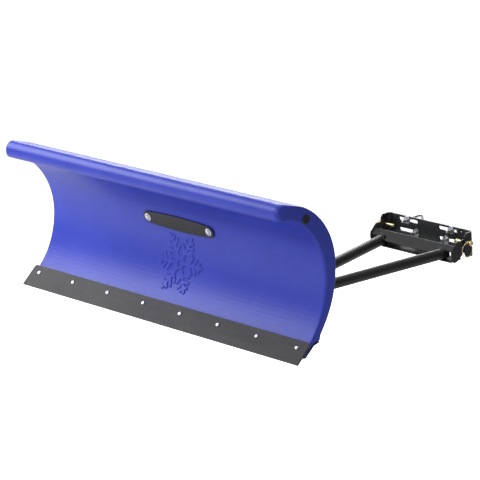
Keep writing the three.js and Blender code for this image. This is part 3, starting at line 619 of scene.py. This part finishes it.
def frame_point(x, along, up):
    """A point of the push frame's climbing plane, in the row's frame."""
    rise = math.radians(FRAME["rise"])
    return Vector((x, FRAME["y"] + along * math.cos(rise) - up * math.sin(rise),
                   FRAME["z"] + along * math.sin(rise) + up * math.cos(rise))) * MM + EDGE_AT


def tube_welds(name, side):
    """Where a push tube meets the end plate, and where it enters the crossbar."""
    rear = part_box("end_plate")[1].y
    spread, radius = TUBE["spread"], TUBE["weld_radius"]
    rise, slope = math.radians(FRAME["rise"]), math.radians(CROSSBAR["slope"])
    ring, collar = [], []
    for step in range(40):
        angle = 2 * math.pi * step / 40
        across, up = radius * math.cos(angle), radius * math.sin(angle)
        along = ((rear - EDGE_AT.y) / MM - FRAME["y"] + up * math.sin(rise)) / math.cos(rise)
        ring.append(frame_point(side * (along * spread + across * 1.017), along, up) + Vector((0, 0.0012, 0)))
        if 15 <= math.degrees(angle) <= 165:
            reach = CROSSBAR["face"] + (up - CROSSBAR["top"]) / math.tan(slope)
            collar.append(frame_point(side * (reach * spread + across * 1.03), reach - 1.5, up + 0.8))
    bead("nose_" + name, ring, BEAD["nose"], "push_frame", closed=True)
    bead("crossbar_" + name, collar, BEAD["collar"], "push_frame")


def ear_welds(name, side):
    """Along the crossbar's face where it meets the ear."""
    x = side * CROSSBAR["ear"]
    face = [frame_point(x, 767 + t * 0.788, 18.6 + t * 0.616) for t in np.linspace(0, 21, 16)]
    bead("ear_" + name, face, BEAD["ear"], "push_frame")


for weld_side, weld_way in SIDES:
    tube_welds(weld_side, weld_way)
    ear_welds(weld_side, weld_way)


# ---- Pieces that keep their CAD shape --------------------------------------------------------------------

EDGES = {"wear_bar": 0.6, "rear_rail": 1.0, "mount_bracket": 0.9, "crossbar_top": 0.9, "index_plate": 0.8}

for name, node in frame["nodes"].items():
    if not node.hide_render:
        dress(node, SLOT_OF[name])
        bevel(node, EDGES.get(name, 0.5))


# ---- Studio ----------------------------------------------------------------------------------------------

def aimed(obj, place, target, roll=0.0):
    """Points an object's -Z axis from its place to a target, then rolls it."""
    way = Vector(target) - Vector(place)
    turn = way.to_track_quat("-Z", "Y").to_matrix().to_4x4() @ Matrix.Rotation(math.radians(roll), 4, "Z")
    obj.matrix_world = Matrix.Translation(place) @ turn


def from_angles(azimuth, elevation, distance, target):
    """A place seen from a target, where azimuth 0 looks along +Y and a positive azimuth comes from +X."""
    a, e = math.radians(azimuth), math.radians(elevation)
    way = Vector((math.sin(a) * math.cos(e), -math.cos(a) * math.cos(e), math.sin(e)))
    return Vector(target) + distance * way


def area_light(name, place, target, size, power, colour=(1, 1, 1)):
    light = bpy.data.lights.new(name, "AREA")
    light.shape = "RECTANGLE"
    light.size, light.size_y = size
    light.energy = power
    light.color = colour
    obj = bpy.data.objects.new(name, light)
    bpy.context.scene.collection.objects.link(obj)
    aimed(obj, place, target)
    return obj


AIM = EDGE_AT + Vector((0.147, 0.2026, 0.2837))
CAMERA_ROLL = 5.95
LENS = 203.7
FLOOR_DROP = 0.23               # room under the plow for the blade when the frame swings down


def studio():
    floor_low = cad_box[0][2] - FLOOR_DROP
    corners = [(x * 30, y * 30, floor_low) for x, y in ((-1, -1), (1, -1), (1, 1), (-1, 1))]
    floor = mesh_object("floor", corners, [(0, 1, 2, 3)], smooth=False)
    pale = Finish("floor_pale")
    pale.colour(pale.ramp(pale.noise(3.0), ((0.3, (0.90, 0.90, 0.90)), (0.7, (0.92, 0.92, 0.92)))))
    pale.set(Roughness=0.9, Emission_Color=(1, 1, 1, 1))
    seen = pale.node("ShaderNodeLightPath").outputs["Is Camera Ray"]
    pale.link(seen, pale.shader.inputs["Emission Strength"])
    floor.data.materials.append(pale.material)

    world = bpy.data.worlds.new("studio")
    bpy.context.scene.world = world
    world.use_nodes = True
    tree = world.node_tree
    backdrop = tree.nodes["Background"]
    ambient = tree.nodes.new("ShaderNodeBackground")
    ambient.inputs["Color"].default_value = (1, 1, 1, 1)
    ambient.inputs["Strength"].default_value = 0.15
    backdrop.inputs["Color"].default_value = (1, 1, 1, 1)
    backdrop.inputs["Strength"].default_value = 1.0
    seen = tree.nodes.new("ShaderNodeLightPath")
    pick = tree.nodes.new("ShaderNodeMixShader")
    tree.links.new(seen.outputs["Is Camera Ray"], pick.inputs["Fac"])
    tree.links.new(ambient.outputs[0], pick.inputs[1])
    tree.links.new(backdrop.outputs[0], pick.inputs[2])
    tree.links.new(pick.outputs[0], tree.nodes["World Output"].inputs["Surface"])

    centre = EDGE_AT + Vector((0.0, 0.1, 0.3))
    area_light("key", from_angles(10, 24, 5.0, centre), centre, (0.35, 0.35), 62)
    area_light("side", from_angles(-58, 27, 2.6, centre), centre, (2.0, 1.5), 50)
    area_light("top", centre + Vector((0.0, 0.4, 2.9)), centre, (3.0, 2.0), 36)
    area_light("back", from_angles(222, 26, 4.5, centre), centre, (3.2, 1.4), 95)

    camera = bpy.data.cameras.new("camera")
    camera.sensor_width = 36.0
    camera.lens = LENS
    obj = bpy.data.objects.new("camera", camera)
    bpy.context.scene.collection.objects.link(obj)
    aimed(obj, from_angles(46.4, 8.07, 8.55, AIM), AIM, roll=CAMERA_ROLL)
    bpy.context.scene.camera = obj
    bpy.context.scene.view_settings.view_transform = "Standard"


studio()
